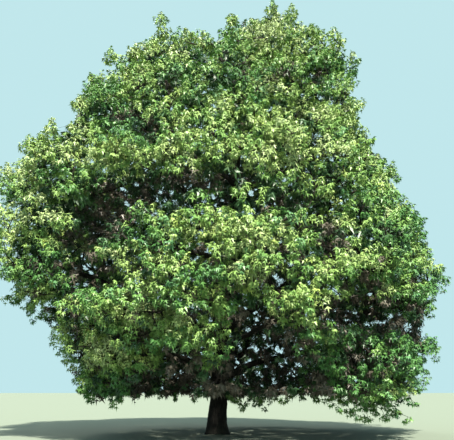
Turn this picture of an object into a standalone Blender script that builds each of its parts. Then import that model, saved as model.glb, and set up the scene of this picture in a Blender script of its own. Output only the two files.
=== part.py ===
"""Norway maple: one whole broadleaf tree, made as separate named solids.

Metres, +Z up. The flat cut under the trunk lies on z = 0 with the trunk line at
the origin. -Y is the front of the tree and +X is its right.
The crown is a shell of leaf masses carried by tapering boughs, which leave one
leaning trunk; the trunk runs up inside the crown and ends in the top mass.
"""
import math

import bmesh
import bpy
from mathutils import Matrix, Vector, noise

# ---------------------------------------------------------------- named sizes
TREE_NAME = "norway_maple"

# crown outline: reach from the trunk line at each height, left (-X) and right (+X)
CROWN_HEIGHTS = (0.4, 1.5, 2.5, 4.0, 5.5, 7.0, 8.5, 10.0, 11.5, 13.0, 14.5, 15.8, 16.8, 17.5)
REACH_LEFT = (3.8, 4.9, 5.6, 6.9, 8.3, 8.5, 8.6, 7.9, 6.3, 5.4, 4.1, 2.7, 1.2, 0.2)
REACH_RIGHT = (6.3, 7.3, 8.1, 8.7, 8.6, 8.2, 7.5, 6.7, 6.2, 6.0, 5.6, 4.7, 3.4, 2.4)
DEPTH_RATIO = 0.97          # front and back reach over the mean of left and right

# trunk
TRUNK_HEIGHT = 15.0
TRUNK_STEPS = 20
TRUNK_RADII = ((0.0, 0.370), (0.3, 0.350), (0.8, 0.330), (1.3, 0.315), (1.8, 0.295), (2.6, 0.275),
               (4.0, 0.245), (6.0, 0.200), (8.0, 0.160), (10.0, 0.125), (12.0, 0.095), (15.0, 0.050))
TRUNK_LEAN = 0.055          # metres sideways (+X) for each metre up, low on the trunk
TRUNK_TOP_SHIFT = 0.55      # further shift of the tip to the right
FLARE_HEIGHT = 0.55         # the root flare fades out over this height
FLARE_DEPTH = 0.12          # how far a root ridge stands out at the ground
FLARE_RIDGES = 5

# leaf masses
MASS_SEGMENTS = 12
MASS_RINGS = 8
MASS_GAP = 0.10             # clear space left between neighbouring masses
MASS_STRETCH = 1.25         # masses are this much flatter than round when they meet
UNEVENNESS = 0.20
TRUNK_CLEARANCE = 0.50      # masses keep this far from the trunk line

# every tier: height, mean size, part of the size that a centre stands inside the
# outline, and for each mass its azimuth (0 front, +90 right), height step, size factor
# and tallness
TIERS = {
    "skirt": (2.75, 1.85, 0.92, ((-46, -0.10, 0.98, 1.0), (-23, 0.95, 0.78, 0.95), (-1, 0.30, 0.27, 3.0),
                                 (23, 0.90, 0.76, 1.0), (52, -0.40, 0.98, 0.95), (88, -0.20, 1.10, 1.0),
                                 (129, 0.30, 1.12, 1.05), (168, -0.05, 1.04, 1.1), (-153, 0.40, 1.10, 1.05),
                                 (-117, 0.05, 1.02, 1.05), (-82, 0.20, 1.00, 1.0))),
    "lower": (5.60, 2.10, 0.92, ((-66, 0.20, 0.88, 1.10), (-14, -0.15, 0.74, 0.90), (12, -0.20, 1.00, 0.90),
                                 (45, 0.35, 1.04, 1.0), (81, -0.05, 1.05, 1.05), (119, 0.55, 1.16, 1.1),
                                 (157, -0.30, 1.04, 1.15), (-164, 0.50, 1.16, 1.1), (-128, -0.35, 1.06, 1.15),
                                 (-96, -0.10, 1.04, 1.1))),
    "middle": (8.75, 2.15, 0.95, ((-52, 0.30, 1.02, 1.0), (-22, 0.20, 0.88, 0.85), (7, 0.15, 0.92, 0.85),
                                  (34, 0.10, 1.02, 1.0), (74, 0.00, 1.05, 1.05), (117, 0.60, 1.16, 1.1),
                                  (162, -0.40, 1.08, 1.15), (-154, 0.55, 1.16, 1.1), (-114, -0.25, 1.06, 1.15),
                                  (-81, 0.40, 0.96, 1.05))),
    "upper": (11.50, 2.00, 0.98, ((-64, 0.15, 1.02, 1.0), (-21, -0.10, 1.00, 1.0), (20, -0.10, 1.05, 1.0),
                                  (66, 0.20, 1.05, 1.0), (118, 0.65, 1.16, 1.1), (176, -0.35, 1.16, 1.15),
                                  (-122, 0.50, 1.16, 1.1))),
    "high": (13.80, 1.80, 1.02, ((-66, -0.15, 1.02, 0.95), (2, -1.45, 0.95, 0.92), (72, 0.30, 1.08, 1.0),
                                 (145, -0.30, 1.18, 1.1), (-135, 0.25, 1.08, 1.1))),
    "top": (15.80, 1.55, 1.10, ((88, 0.15, 1.10, 1.0), (-72, -0.95, 0.95, 0.92))),
}

# boughs: tier and mass that each one enters, height where it leaves the trunk,
# radius there, and how far it arches above the straight line
BOUGHS = (
    ("bough_right_low", "skirt", 5, 1.85, 0.125, 0.95),
    ("bough_left_low", "skirt", 10, 2.25, 0.115, 0.80),
    ("bough_front_low", "skirt", 3, 2.75, 0.100, 0.50),
    ("bough_back_low", "skirt", 7, 2.45, 0.115, 0.80),
    ("bough_front_left", "lower", 0, 3.05, 0.140, 0.45),
    ("bough_front_right", "lower", 3, 3.55, 0.145, 0.40),
    ("bough_back_left", "lower", 8, 3.35, 0.140, 0.40),
    ("bough_back_right", "lower", 5, 3.85, 0.140, 0.35),
    ("bough_left_rising", "middle", 8, 4.35, 0.130, 0.30),
    ("bough_right_rising", "middle", 4, 4.75, 0.135, 0.25),
    ("bough_back_rising", "middle", 6, 5.25, 0.125, 0.25),
    ("bough_front_rising", "middle", 2, 5.65, 0.105, 0.20),
    ("bough_left_upper", "upper", 0, 6.60, 0.110, 0.20),
    ("bough_back_upper", "upper", 5, 7.50, 0.095, 0.20),
)
BOUGH_SIDES = 1             # bevel resolution: six sides
BOUGH_STEPS = 7
BOUGH_TIP = 0.42            # tip radius over the radius at the trunk
JOINT_GAP = 0.0006          # clear space where a bough meets the trunk

# colours of the record's two materials
BARK = (0.085, 0.070, 0.058)
LEAVES = (0.120, 0.220, 0.060)


# ------------------------------------------------------------------- helpers
def lerp_table(x, xs, ys):
    if x <= xs[0]:
        return ys[0]
    for i in range(1, len(xs)):
        if x <= xs[i]:
            f = (x - xs[i - 1]) / (xs[i] - xs[i - 1])
            return ys[i - 1] * (1 - f) + ys[i] * f
    return ys[-1]


def crown_reach(azimuth, z):
    """Distance from the trunk line to the crown's outline at an azimuth and height."""
    left = lerp_table(z, CROWN_HEIGHTS, REACH_LEFT)
    right = lerp_table(z, CROWN_HEIGHTS, REACH_RIGHT)
    depth = DEPTH_RATIO * 0.5 * (left + right)
    side = right if math.sin(azimuth) > 0 else left
    return math.hypot(side * math.sin(azimuth), depth * math.cos(azimuth))


def direction(azimuth):
    return Vector((math.sin(azimuth), -math.cos(azimuth), 0.0))


def inside_crown(p):
    if p.z >= CROWN_HEIGHTS[-1] or p.z <= 0.12:
        return False
    azimuth = math.atan2(p.x, -p.y)
    return math.hypot(p.x, p.y) <= crown_reach(azimuth, p.z)


def trunk_line(z):
    """Centre of the trunk at height z: upright at the cut, then leaning right."""
    t = max(0.0, z - 0.4)
    f = min(1.0, z / TRUNK_HEIGHT)
    x = TRUNK_LEAN * t * (1 - 0.35 * f) + TRUNK_TOP_SHIFT * f * f + 0.07 * math.sin(0.9 * t) * f
    y = -0.10 * math.sin(0.55 * t) * min(1.0, t)
    return Vector((x, y, z))


def trunk_radius(z):
    return lerp_table(z, [h for h, _ in TRUNK_RADII], [r for _, r in TRUNK_RADII])


def material(name, colour, roughness):
    mat = bpy.data.materials.new(name)
    mat.use_nodes = True
    shader = mat.node_tree.nodes["Principled BSDF"]
    shader.inputs["Base Color"].default_value = (*colour, 1.0)
    shader.inputs["Roughness"].default_value = roughness
    shader.inputs["Metallic"].default_value = 0.0
    return mat


def tinted(colour, index):
    k = 0.88 + 0.24 * ((index * 37) % 11) / 10.0
    return tuple(min(1.0, c * k) for c in colour)


def add_object(name, mesh, collection, mat=None):
    obj = bpy.data.objects.new(name, mesh)
    collection.objects.link(obj)
    if mat is not None:
        mesh.materials.clear()
        mesh.materials.append(mat)
    return obj


def face_outward(bm):
    """Turn a closed mesh's faces outward."""
    if bm.calc_volume(signed=True) < 0:
        bmesh.ops.reverse_faces(bm, faces=bm.faces)


def tube_mesh(name, points, radii, resolution):
    """A closed tapering tube through the points, made from a bevelled curve."""
    curve = bpy.data.curves.new(name + "_curve", "CURVE")
    curve.dimensions = "3D"
    curve.bevel_depth = 1.0
    curve.bevel_resolution = resolution
    curve.use_fill_caps = True
    curve.twist_mode = "MINIMUM"
    spline = curve.splines.new("POLY")
    spline.points.add(len(points) - 1)
    for i, (p, r) in enumerate(zip(points, radii)):
        spline.points[i].co = (p.x, p.y, p.z, 1.0)
        spline.points[i].radius = r
    holder = bpy.data.objects.new(name + "_curve", curve)
    bpy.context.scene.collection.objects.link(holder)
    depsgraph = bpy.context.evaluated_depsgraph_get()
    mesh = bpy.data.meshes.new_from_object(holder.evaluated_get(depsgraph))
    bpy.data.objects.remove(holder)
    bpy.data.curves.remove(curve)
    mesh.name = name
    bm = bmesh.new()
    bm.from_mesh(mesh)
    bmesh.ops.remove_doubles(bm, verts=bm.verts, dist=0.0001)
    bmesh.ops.recalc_face_normals(bm, faces=bm.faces)
    face_outward(bm)
    bm.to_mesh(mesh)
    bm.free()
    return mesh


# --------------------------------------------------------------- leaf masses
def mass_layout():
    """Centre, size and semi-axes of every mass, in build order."""
    masses = []
    for tier, (height, size, inset, spots) in TIERS.items():
        for n, (azimuth_deg, step, factor, tall) in enumerate(spots):
            azimuth = math.radians(azimuth_deg)
            z = height + step
            s = size * factor
            out = max(0.0, crown_reach(azimuth, z) - inset * s)
            out = max(out, TRUNK_CLEARANCE + 0.4)
            centre = direction(azimuth) * out
            centre.z = z
            name = "leaf_mass_%s_%02d" % (tier, n + 1)
            masses.append({"name": name, "tier": tier, "n": n, "azimuth": azimuth,
                           "centre": centre, "size": s, "tall": tall})
    return masses


def planes_of(mass, masses):
    """Half-spaces that keep a mass apart from its neighbours and from the trunk."""
    planes = []
    c = mass["centre"]
    for other in masses:
        if other is mass:
            continue
        d = other["centre"] - c
        q = Vector((d.x, d.y, d.z * MASS_STRETCH))
        dist = q.length
        if dist > 2.6 * (mass["size"] + other["size"]):
            continue
        t = (dist * dist + mass["size"] ** 2 - other["size"] ** 2) / (2 * dist) - 0.5 * MASS_GAP * MASS_STRETCH
        n = q / dist
        planes.append((Vector((n.x, n.y, n.z * MASS_STRETCH)), t))
    axis = trunk_line(min(c.z, TRUNK_HEIGHT))
    flat = Vector((axis.x - c.x, axis.y - c.y, 0.0))
    if flat.length > 0.01 and c.z < 14.6:
        planes.append((flat.normalized(), max(0.25, flat.length - TRUNK_CLEARANCE)))
    return planes


def mass_mesh(mass, masses, index):
    """A sphere whose vertices are drawn in or out to an uneven, flat-bottomed clump."""
    bm = bmesh.new()
    bmesh.ops.create_uvsphere(bm, u_segments=MASS_SEGMENTS, v_segments=MASS_RINGS, radius=1.0)
    c, s, azimuth = mass["centre"], mass["size"], mass["azimuth"]
    out = direction(azimuth)
    side = Vector((-out.y, out.x, 0.0))
    planes = planes_of(mass, masses)
    offset = Vector((7.3 * index, 3.1 * index, 1.7 * index))
    spin = Matrix.Rotation(0.7 * index, 3, "Z")
    for v in bm.verts:
        d = (spin @ v.co).normalized()
        # ellipsoid: wide along the outline, domed above, flatter below
        a, b = 1.22 * s, 1.10 * s
        up = mass["tall"] * s * (1.00 if d.z > 0 else 0.80)
        k = math.sqrt((d.dot(side) / a) ** 2 + (d.dot(out) / b) ** 2 + (d.z / up) ** 2)
        rho = (1.0 / k) * (1.0 + UNEVENNESS * noise.noise(d * 1.7 + offset))
        limits = [rho]
        for n, t in planes:
            along = d.dot(n)
            if along > 1e-4:
                limits.append(t / along)
        # outline of the crown, let out a little unevenly
        reach = rho
        step = rho / 24.0
        grow = 1.01 + 0.035 * noise.noise(d * 2.3 - offset)
        for i in range(1, 25):
            p = c + d * (step * i / grow)
            if not inside_crown(p):
                reach = step * (i - 0.5)
                break
        else:
            reach = rho * 1.3
        limits.append(max(reach, 0.15 * s))
        power = 12.0
        rho = sum(x ** -power for x in limits) ** (-1.0 / power)
        v.co = d * rho
    face_outward(bm)
    mesh = bpy.data.meshes.new(mass["name"])
    bm.to_mesh(mesh)
    bm.free()
    return mesh


# -------------------------------------------------------------------- limbs
def trunk_mesh():
    """Tapering leaning tube; the foot is drawn out into root ridges."""
    points, radii = [], []
    for i in range(TRUNK_STEPS + 1):
        f = i / TRUNK_STEPS
        z = TRUNK_HEIGHT * (0.35 * f + 0.65 * f * f)
        points.append(trunk_line(z))
        radii.append(trunk_radius(z))
    mesh = tube_mesh("trunk", points, radii, 3)
    for v in mesh.vertices:
        z = v.co.z
        if z < 0.02:
            z = v.co.z = 0.0        # the flat cut
        if z < 2.2:
            line = trunk_line(z)
            d = Vector((v.co.x - line.x, v.co.y - line.y, 0.0))
            if d.length < 1e-4:
                continue
            angle = math.atan2(d.y, d.x)
            ridge = 0.35 + 0.65 * max(0.0, math.cos(FLARE_RIDGES * 0.5 * angle + 0.6)) ** 2
            d.normalize()
            push = FLARE_DEPTH * ridge * math.exp(-z / (0.45 * FLARE_HEIGHT))
            v.co.x += d.x * push
            v.co.y += d.y * push
    return mesh


def bough_points(start, end, arch):
    """Points of a limb that leaves the trunk rising and arches out to its mass."""
    span = end - start
    flat = Vector((span.x, span.y, 0.0))
    out = flat.normalized()
    reach = flat.length
    p1 = start + out * (0.28 * reach) + Vector((0, 0, 0.30 * span.z + arch))
    p2 = start + out * (0.66 * reach) + Vector((0, 0, 0.72 * span.z + 0.8 * arch))
    points = []
    for i in range(BOUGH_STEPS + 1):
        t = i / BOUGH_STEPS
        points.append(start * (1 - t) ** 3 + p1 * (3 * t * (1 - t) ** 2) + p2 * (3 * t * t * (1 - t)) + end * t ** 3)
    return points


def fattened(source, amount, name, collection):
    """A cutter: the source mesh drawn out along its normals by a small amount."""
    mesh = source.data.copy()
    mesh.name = name
    normals = [v.normal.copy() for v in mesh.vertices]
    for v, n in zip(mesh.vertices, normals):
        v.co += n * amount
    cutter = bpy.data.objects.new(name, mesh)
    cutter.matrix_world = source.matrix_world.copy()
    cutter.hide_render = True
    cutter.display_type = "WIRE"
    collection.objects.link(cutter)
    return cutter


def cut(obj, cutter):
    mod = obj.modifiers.new("cut_" + cutter.name, "BOOLEAN")
    mod.operation = "DIFFERENCE"
    mod.solver = "EXACT"
    mod.object = cutter


# --------------------------------------------------------------------- build
def main():
    for obj in list(bpy.data.objects):
        bpy.data.objects.remove(obj, do_unlink=True)

    parts = bpy.data.collections.new(TREE_NAME)
    cutters = bpy.data.collections.new(TREE_NAME + "_cutters")
    bpy.context.scene.collection.children.link(parts)
    bpy.context.scene.collection.children.link(cutters)

    masses = mass_layout()
    nodes = {}
    for i, mass in enumerate(masses):
        mesh = mass_mesh(mass, masses, i)
        obj = add_object(mass["name"], mesh, parts,
                         material("leaves_" + mass["name"], tinted(LEAVES, i), 0.62))
        obj.location = mass["centre"]
        nodes[mass["tier"], mass["n"]] = (obj, mass)
    bpy.context.view_layer.update()

    trunk = add_object("trunk", trunk_mesh(), parts, material("bark_trunk", BARK, 0.92))
    bpy.context.view_layer.update()
    trunk_cutter = fattened(trunk, JOINT_GAP, "trunk_cutter", cutters)

    mass_cutters = {}

    def mass_cutter(key):
        if key not in mass_cutters:
            obj, mass = nodes[key]
            cutter = fattened(obj, 0.0, "cutter_" + obj.name, cutters)
            for v in cutter.data.vertices:
                v.co *= 1.002
            mass_cutters[key] = cutter
        return mass_cutters[key]

    cut(trunk, mass_cutter(("top", 0)))

    for i, (name, tier, n, leave, radius, arch) in enumerate(BOUGHS):
        mass = nodes[tier, n][1]
        points = bough_points(trunk_line(leave), mass["centre"], arch)
        radii = [radius * (1 - (1 - BOUGH_TIP) * k / BOUGH_STEPS) for k in range(BOUGH_STEPS + 1)]
        radii[0] = radius * 1.25
        mesh = tube_mesh(name, points, radii, BOUGH_SIDES)
        obj = add_object(name, mesh, parts, material("bark_" + name, tinted(BARK, i + 3), 0.92))
        cut(obj, trunk_cutter)
        cut(obj, mass_cutter((tier, n)))


main()
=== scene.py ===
"""Looks of the norway maple: bark, limbs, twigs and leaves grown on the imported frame.

Metres, +Z up, the trunk's flat cut on z = 0. -Y is the front of the tree.
"""
import math

import bmesh
import bpy
import numpy as np
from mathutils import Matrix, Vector, noise
from mathutils.bvhtree import BVHTree
from mathutils.kdtree import KDTree


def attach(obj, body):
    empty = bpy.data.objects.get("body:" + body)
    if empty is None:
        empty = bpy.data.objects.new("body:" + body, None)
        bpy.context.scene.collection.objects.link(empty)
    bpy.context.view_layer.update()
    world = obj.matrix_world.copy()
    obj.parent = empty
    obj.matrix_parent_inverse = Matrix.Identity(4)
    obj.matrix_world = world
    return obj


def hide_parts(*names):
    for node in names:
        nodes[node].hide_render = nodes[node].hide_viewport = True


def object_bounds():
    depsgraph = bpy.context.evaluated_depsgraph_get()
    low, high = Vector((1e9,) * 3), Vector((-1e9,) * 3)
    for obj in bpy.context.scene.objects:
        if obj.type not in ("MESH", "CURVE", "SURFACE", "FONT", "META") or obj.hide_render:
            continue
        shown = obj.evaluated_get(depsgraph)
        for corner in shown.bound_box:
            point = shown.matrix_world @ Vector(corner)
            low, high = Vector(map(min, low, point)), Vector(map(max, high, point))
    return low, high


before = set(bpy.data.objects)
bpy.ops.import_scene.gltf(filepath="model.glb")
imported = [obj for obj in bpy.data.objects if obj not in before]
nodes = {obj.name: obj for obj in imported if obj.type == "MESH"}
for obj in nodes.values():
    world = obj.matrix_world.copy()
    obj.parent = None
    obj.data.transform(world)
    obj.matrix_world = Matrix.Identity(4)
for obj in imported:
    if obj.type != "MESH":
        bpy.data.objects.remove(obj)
CAD_LOW, CAD_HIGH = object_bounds()
rng = np.random.default_rng(41)
noise.seed_set(41)

UP = np.array((0.0, 0.0, 1.0))

# ------------------------------------------------------------------ camera
EYE = np.array((0.0, -24.0, 1.55))
PITCH = math.radians(15.2)
YAW = math.radians(0.855)
FRAME_W, FRAME_H, FOCAL = 454.0, 440.0, 625.0      # pixels

cam_data = bpy.data.cameras.new("camera")
cam_data.sensor_width = 36.0
cam_data.sensor_fit = "HORIZONTAL"
cam_data.lens = 36.0 * FOCAL / FRAME_W
cam_data.clip_start, cam_data.clip_end = 0.1, 2000.0
camera = bpy.data.objects.new("camera", cam_data)
camera.location = EYE
camera.rotation_euler = (math.pi / 2 + PITCH, 0.0, -YAW)
bpy.context.scene.collection.objects.link(camera)
bpy.context.scene.camera = camera

AHEAD = np.array((math.sin(YAW) * math.cos(PITCH), math.cos(YAW) * math.cos(PITCH), math.sin(PITCH)))
RIGHT = np.array((math.cos(YAW), -math.sin(YAW), 0.0))
ABOVE = np.cross(RIGHT, AHEAD)


def to_frame(p):
    """Photo coordinates and depth of points."""
    d = p - EYE
    w = d @ AHEAD
    return FRAME_W / 2 + FOCAL * (d @ RIGHT) / w, FRAME_H / 2 - FOCAL * (d @ ABOVE) / w, w


def from_frame(u, v, y):
    """The point at depth coordinate y seen at photo coordinates u, v."""
    d = AHEAD + RIGHT * ((u - FRAME_W / 2) / FOCAL) + ABOVE * ((FRAME_H / 2 - v) / FOCAL)
    return EYE + d * ((y - EYE[1]) / d[1])


# ------------------------------------------------------------------ helpers
def unit(v):
    v = np.asarray(v, float)
    n = np.linalg.norm(v, axis=-1, keepdims=True)
    return v / np.maximum(n, 1e-9)


def scatter_dirs(n):
    return unit(rng.normal(size=(n, 3)))


def bezier(p0, p1, p2, p3, n):
    t = np.linspace(0.0, 1.0, n)[:, None]
    return p0 * (1 - t) ** 3 + p1 * 3 * t * (1 - t) ** 2 + p2 * 3 * t * t * (1 - t) + p3 * t ** 3


def link(obj):
    bpy.context.scene.collection.objects.link(obj)
    return obj


def mesh_object(name, verts, faces, mats, mat_index=None, smooth=False):
    """An object from arrays of vertices and of triangles or quads."""
    mesh = bpy.data.meshes.new(name)
    k = faces.shape[1]
    mesh.vertices.add(len(verts))
    mesh.vertices.foreach_set("co", np.ascontiguousarray(verts, np.float32).ravel())
    mesh.loops.add(faces.size)
    mesh.loops.foreach_set("vertex_index", np.ascontiguousarray(faces, np.int32).ravel())
    mesh.polygons.add(len(faces))
    mesh.polygons.foreach_set("loop_start", np.arange(0, faces.size, k, dtype=np.int32))
    for m in mats:
        mesh.materials.append(m)
    if mat_index is not None:
        mesh.polygons.foreach_set("material_index", np.ascontiguousarray(mat_index, np.int32))
    mesh.polygons.foreach_set("use_smooth", np.full(len(faces), smooth))
    mesh.update(calc_edges=True)
    return link(bpy.data.objects.new(name, mesh))


# ---------------------------------------------------------------- materials
def principled(name, colour, roughness, specular=0.5):
    mat = bpy.data.materials.new(name)
    mat.use_nodes = True
    shader = mat.node_tree.nodes["Principled BSDF"]
    shader.inputs["Base Color"].default_value = (*colour, 1.0)
    shader.inputs["Roughness"].default_value = roughness
    shader.inputs["Specular IOR Level"].default_value = specular
    return mat


def bark_darkened_as_shade():
    """Grey-brown bark darkened to near black as painted shade, the crown's shade on the wood: vertical furrows, paler
    weathered ridges, a green cast in patches.
    """
    mat = principled("bark", (0.05, 0.043, 0.036), 0.9, 0.2)
    tree = mat.node_tree
    shader = tree.nodes["Principled BSDF"]
    coords = tree.nodes.new("ShaderNodeTexCoord")
    stretch = tree.nodes.new("ShaderNodeMapping")
    stretch.inputs["Scale"].default_value = (1.0, 1.0, 0.22)
    tree.links.new(coords.outputs["Object"], stretch.inputs["Vector"])
    furrows = tree.nodes.new("ShaderNodeTexNoise")
    furrows.inputs["Scale"].default_value = 26.0
    furrows.inputs["Detail"].default_value = 6.0
    furrows.inputs["Roughness"].default_value = 0.65
    tree.links.new(stretch.outputs["Vector"], furrows.inputs["Vector"])
    cast = tree.nodes.new("ShaderNodeTexNoise")
    cast.inputs["Scale"].default_value = 1.3
    cast.inputs["Detail"].default_value = 3.0
    tree.links.new(coords.outputs["Object"], cast.inputs["Vector"])
    # painted shade: the ramp's colours lie far below the bark's own grey-brown, darkened for the shade of the crown
    ramp = tree.nodes.new("ShaderNodeValToRGB")
    ramp.color_ramp.elements[0].position = 0.36
    ramp.color_ramp.elements[0].color = (0.005, 0.0045, 0.004, 1)
    ramp.color_ramp.elements[1].position = 0.72
    ramp.color_ramp.elements[1].color = (0.032, 0.028, 0.024, 1)
    tree.links.new(furrows.outputs["Fac"], ramp.inputs["Fac"])
    moss = tree.nodes.new("ShaderNodeMix")
    moss.data_type = "RGBA"
    moss.inputs["B"].default_value = (0.030, 0.035, 0.020, 1)
    spread = tree.nodes.new("ShaderNodeMapRange")
    spread.inputs["From Min"].default_value = 0.50
    spread.inputs["From Max"].default_value = 0.75
    spread.inputs["To Max"].default_value = 0.45
    tree.links.new(cast.outputs["Fac"], spread.inputs["Value"])
    tree.links.new(spread.outputs["Result"], moss.inputs["Factor"])
    tree.links.new(ramp.outputs["Color"], moss.inputs["A"])
    tree.links.new(moss.outputs["Result"], shader.inputs["Base Color"])
    bump = tree.nodes.new("ShaderNodeBump")
    bump.inputs["Strength"].default_value = 0.8
    bump.inputs["Distance"].default_value = 0.02
    tree.links.new(furrows.outputs["Fac"], bump.inputs["Height"])
    tree.links.new(bump.outputs["Normal"], shader.inputs["Normal"])
    return mat


BARK_DARKENED_AS_SHADE = bark_darkened_as_shade()
# painted shade: the twigs' bark is darkened to near black for the shade inside the crown
TWIG_DARKENED_AS_SHADE = principled("twig_bark_painted_shade", (0.020, 0.016, 0.013), 0.85, 0.2)

# leaf colours, darkest first: eight greens that are partly painted light and painted shade, the darkest cooler as the
# shade of undersides, the palest as sunlit, glossy tops; then two cooler ones, two olive ones, and three dark ones for
# the shaded inside, which are painted shade, the third of them brownish
LEAF_COLOURS = (
    (0.056, 0.152, 0.037), (0.078, 0.188, 0.044), (0.110, 0.228, 0.054), (0.148, 0.268, 0.065),
    (0.190, 0.305, 0.079), (0.236, 0.341, 0.102), (0.276, 0.374, 0.126), (0.322, 0.405, 0.176),
    (0.070, 0.185, 0.066), (0.112, 0.245, 0.094),
    (0.270, 0.365, 0.088), (0.205, 0.285, 0.074),
    (0.020, 0.055, 0.019), (0.031, 0.082, 0.027), (0.090, 0.078, 0.059),
)
LEAF_MATS = [principled("leaf_green_%02d" % (i + 1), c, 0.42, 0.35) for i, c in enumerate(LEAF_COLOURS)]
GREENS, COOL, OLIVE, SHADED = 8, 8, 10, 12

# ------------------------------------------------------------ trunk and boughs
TRUNK_HEIGHT = 15.0
TRUNK_RADII = ((0.0, 0.370), (0.3, 0.350), (0.8, 0.330), (1.3, 0.315), (1.8, 0.295), (2.6, 0.275),
               (4.0, 0.245), (6.0, 0.200), (8.0, 0.160), (10.0, 0.125), (12.0, 0.095), (15.0, 0.050))
TRUNK_LEAN, TRUNK_TOP_SHIFT = 0.055, 0.55
FLARE_HEIGHT, FLARE_DEPTH, FLARE_RIDGES = 0.55, 0.12, 5
BOUGH_TIP = 0.42

# name, mass that it enters, height on the trunk, radius there, arch, middle of the mass
BOUGHS = (
    ("bough_right_low", "leaf_mass_skirt_06", 1.85, 0.125, 0.95, (6.242, -0.218, 2.550)),
    ("bough_left_low", "leaf_mass_skirt_11", 2.25, 0.115, 0.80, (-4.265, -0.599, 2.950)),
    ("bough_front_low", "leaf_mass_skirt_04", 2.75, 0.100, 0.50, (2.444, -5.757, 3.650)),
    ("bough_back_low", "leaf_mass_skirt_08", 2.45, 0.115, 0.80, (1.053, 4.954, 2.700)),
    ("bough_front_left", "leaf_mass_lower_01", 3.05, 0.140, 0.45, (-6.041, -2.690, 5.800)),
    ("bough_front_right", "leaf_mass_lower_04", 3.55, 0.145, 0.40, (4.466, -4.466, 5.950)),
    ("bough_back_left", "leaf_mass_lower_09", 3.35, 0.140, 0.40, (-4.750, 3.711, 5.250)),
    ("bough_back_right", "leaf_mass_lower_06", 3.85, 0.140, 0.35, (5.355, 2.968, 6.150)),
    ("bough_left_rising", "leaf_mass_middle_09", 4.35, 0.130, 0.30, (-5.764, 2.566, 8.500)),
    ("bough_right_rising", "leaf_mass_middle_05", 4.75, 0.135, 0.25, (5.044, -1.446, 8.750)),
    ("bough_back_rising", "leaf_mass_middle_07", 5.25, 0.125, 0.25, (1.733, 5.332, 8.350)),
    ("bough_front_rising", "leaf_mass_middle_03", 5.65, 0.105, 0.20, (0.698, -5.688, 8.900)),
    ("bough_left_upper", "leaf_mass_upper_01", 6.60, 0.110, 0.20, (-3.750, -1.829, 11.650)),
    ("bough_back_upper", "leaf_mass_upper_06", 7.50, 0.095, 0.20, (0.281, 4.017, 11.150)),
)


def trunk_line(z):
    t = max(0.0, z - 0.4)
    f = min(1.0, z / TRUNK_HEIGHT)
    x = TRUNK_LEAN * t * (1 - 0.35 * f) + TRUNK_TOP_SHIFT * f * f + 0.07 * math.sin(0.9 * t) * f
    return np.array((x, -0.10 * math.sin(0.55 * t) * min(1.0, t), z))


def trunk_radius(z):
    return float(np.interp(z, [h for h, _ in TRUNK_RADII], [r for _, r in TRUNK_RADII]))


def bough_line(leave, end, arch, n):
    start, end = trunk_line(leave), np.array(end)
    span = end - start
    flat = span * (1, 1, 0)
    reach = np.linalg.norm(flat)
    out = flat / reach
    p1 = start + out * (0.28 * reach) + UP * (0.30 * span[2] + arch)
    p2 = start + out * (0.66 * reach) + UP * (0.72 * span[2] + 0.8 * arch)
    return bezier(start, p1, p2, end, n)


def frames_along(pts):
    """Two vectors across a path at each point, carried along without twist."""
    tang = np.gradient(pts, axis=0)
    tang = unit(tang)
    a = np.empty_like(pts)
    ref = np.array((1.0, 0.0, 0.0)) if abs(tang[0][0]) < 0.8 else np.array((0.0, 1.0, 0.0))
    v = ref - tang[0] * (ref @ tang[0])
    a[0] = v / np.linalg.norm(v)
    for i in range(1, len(pts)):
        v = a[i - 1] - tang[i] * (a[i - 1] @ tang[i])
        a[i] = v / max(np.linalg.norm(v), 1e-9)
    return a, np.cross(tang, a), tang


def bark_tube(pts, radii, sides, depth, seed, flare=False):
    """A closed tube with furrowed, slightly lumpy bark."""
    a, b, _ = frames_along(pts)
    run = np.concatenate(([0.0], np.cumsum(np.linalg.norm(np.diff(pts, axis=0), axis=1))))
    th = np.linspace(0, 2 * math.pi, sides, endpoint=False)
    rings = []
    for i in range(len(pts)):
        ring = a[i] * np.cos(th)[:, None] + b[i] * np.sin(th)[:, None]
        r = np.full(sides, radii[i])
        for j in range(sides):
            # furrows run with the grain and weave in and out of one another
            q = Vector((ring[j][0] * radii[i] + seed, ring[j][1] * radii[i] - seed, ring[j][2] * radii[i]))
            s = run[i]
            n = noise.noise(Vector((q.x * 17, q.y * 17, (q.z * 17 + s * 3.4))))
            m = noise.noise(Vector((q.x * 36, q.y * 36, (q.z * 36 + s * 9.0) + 11)))
            lump = noise.noise(Vector((q.x * 2.6, q.y * 2.6, s * 0.9 + 5)))
            r[j] += depth * ((1 - 2.2 * abs(n)) + 0.5 * (1 - 2 * abs(m)) - 0.8) + 0.10 * radii[i] * lump
        if flare:
            z = pts[i][2]
            ang = np.arctan2(ring[:, 1], ring[:, 0])
            ridge = 0.35 + 0.65 * np.maximum(0, np.cos(FLARE_RIDGES * 0.5 * ang + 0.6)) ** 2
            r += FLARE_DEPTH * ridge * math.exp(-z / (0.45 * FLARE_HEIGHT))
        rings.append(pts[i] + ring * r[:, None])
    n = len(pts)
    verts = np.concatenate(rings + [pts[:1], pts[-1:]])
    i, j = np.meshgrid(np.arange(n - 1), np.arange(sides), indexing="ij")
    k = (j + 1) % sides
    q = np.stack([i * sides + j, i * sides + k, (i + 1) * sides + k, (i + 1) * sides + j], -1).reshape(-1, 4)
    tris = np.concatenate([q[:, [0, 1, 2]], q[:, [0, 2, 3]]])
    jj = np.arange(sides)
    kk = (jj + 1) % sides
    foot = np.stack([np.full(sides, n * sides), kk, jj], 1)
    tip = np.stack([np.full(sides, n * sides + 1), (n - 1) * sides + jj, (n - 1) * sides + kk], 1)
    return verts, np.concatenate([tris, foot, tip])


# the skeleton: every point of wood with the point that it grows from
pos, parent = [], []


def grow(path, start):
    """Adds a path's points to the skeleton after point start (-1 for none); returns their numbers."""
    ids = []
    for p in path:
        pos.append(np.asarray(p, float))
        parent.append(start)
        start = len(pos) - 1
        ids.append(start)
    return ids


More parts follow.
